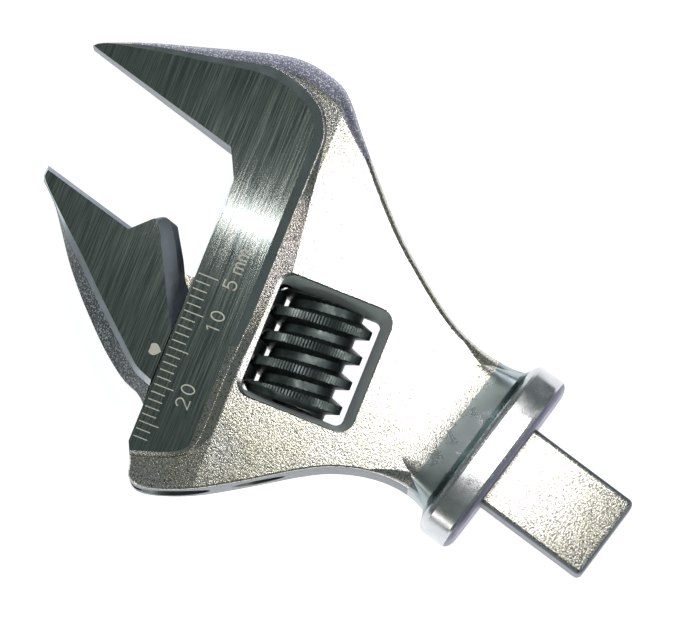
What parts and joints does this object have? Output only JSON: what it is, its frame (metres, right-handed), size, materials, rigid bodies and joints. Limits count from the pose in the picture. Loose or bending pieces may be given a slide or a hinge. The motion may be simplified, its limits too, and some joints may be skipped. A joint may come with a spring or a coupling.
{
  "type": "adjustable wrench head",
  "caption": "Adjustable open-end wrench head with a knurled worm, a sliding jaw and a flanged rectangular spigot for a torque wrench.",
  "frame": {"origin": "centre of the spigot's root, in the plane of the flange's shoulder", "axes": "+X along the shank from the spigot towards the jaw tips, +Y towards the movable jaw, +Z out of the front face that carries the scale"},
  "size_m": [0.0924, 0.0581, 0.018],
  "materials": {
    "satin_chrome": "blasted satin chrome over a steel forging",
    "ground_steel": "ground along the jaw's travel, grey-green chrome",
    "black_oxide": "black oxide, lightly oiled",
    "spring_steel": "drawn spring wire",
    "hardened_steel": "turned and hardened, fine turning marks"
  },
  "bodies": {
    "body": {"body": "satin_chrome", "worm_pin": "black_oxide", "worm_spring": "spring_steel", "detent_spring": "spring_steel", "detent_cross_pin": "hardened_steel"},
    "movable_jaw": {"movable_jaw": "ground_steel"},
    "worm": {"worm": "black_oxide"},
    "detent_pin": {"detent_pin": "hardened_steel"}
  },
  "joints": [
    {"name": "worm_spin", "type": "hinge", "parent": "body", "child": "worm", "pos_m": [0.02859, 0.00766, 0], "axis": [0.2588, -0.9659, 0], "range_deg": [-1170, 1170]},
    {"name": "jaw_slide", "type": "slide", "parent": "body", "child": "movable_jaw", "axis": [-0.2588, 0.9659, 0], "range_m": [-0.01137, 0.01137]},
    {"name": "detent_slide", "type": "slide", "parent": "body", "child": "detent_pin", "axis": [0, 0, 1], "range_m": [0, 0.0016], "stiffness_N_per_m": 1500, "springref_m": -0.002, "deforming": ["detent_spring"]}
  ],
  "couplings": [
    {"joint": "worm_spin", "follows": "jaw_slide", "rad_per_m": 1795.2}
  ]
}
